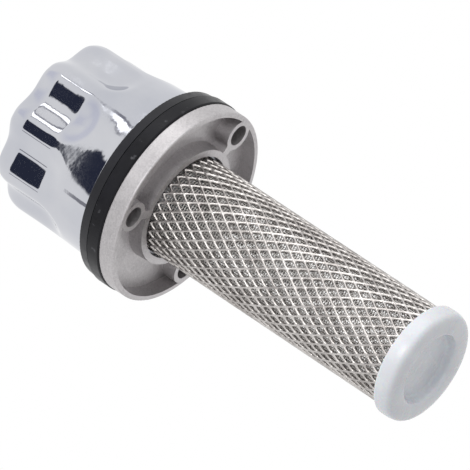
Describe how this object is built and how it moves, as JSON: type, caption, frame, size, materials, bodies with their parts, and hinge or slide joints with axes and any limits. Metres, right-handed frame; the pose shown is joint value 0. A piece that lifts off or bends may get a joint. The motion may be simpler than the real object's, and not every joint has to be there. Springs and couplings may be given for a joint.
{
  "type": "hydraulic filler breather",
  "caption": "Filler breather for a hydraulic tank: round cast flange for screws, fluted chrome bayonet cap with an air filter, and a long mesh strainer basket below.",
  "frame": {"origin": "centre of the flange's underside, the face that is screwed to the tank", "axes": "+Z along the axis, out of the tank towards the cap; +X through one screw hole; the basket hangs in -Z"},
  "size_m": [0.0506, 0.0506, 0.1166],
  "materials": {
    "die_cast": "as cast, lightly tumbled",
    "black_rubber": "smooth, slight sheen",
    "zinc_steel": "zinc plated",
    "fibre": "pressed fibre",
    "mesh_steel": "bright expanded steel",
    "wire_cloth": "woven wire",
    "milky_plastic": "satin, slightly translucent moulding",
    "chrome_shell": "mirror chromium plate",
    "dark_moulding": "satin black moulding",
    "pleated_paper": "resin-impregnated paper",
    "white_moulding": "moulded"
  },
  "bodies": {
    "flange": {"flange_casting": "die_cast", "flange_gasket": "black_rubber", "bayonet_ring": "zinc_steel", "basket_washer": "fibre", "basket_collar": "zinc_steel", "expanded_mesh": "mesh_steel", "wire_screen": "wire_cloth", "basket_end_cap": "milky_plastic"},
    "cap": {"cap_shell": "chrome_shell", "cap_base": "dark_moulding", "base_plate": "zinc_steel", "neck_seal": "black_rubber", "locking_plate": "zinc_steel", "splash_baffle": "zinc_steel", "centre_bolt": "zinc_steel", "spacer_tube": "zinc_steel", "bolt_washer": "zinc_steel", "bolt_nut": "zinc_steel", "element_seal": "black_rubber", "element_lower_disc": "zinc_steel", "element_upper_disc": "zinc_steel", "filter_paper": "pleated_paper", "element_core": "white_moulding", "element_spring": "zinc_steel"}
  },
  "joints": [
    {"name": "cap_turn", "type": "hinge", "parent": "flange", "child": "cap", "pos_m": [0, 0, 0.0117], "axis": [0, 0, 1], "range_deg": [0, 50]}
  ]
}
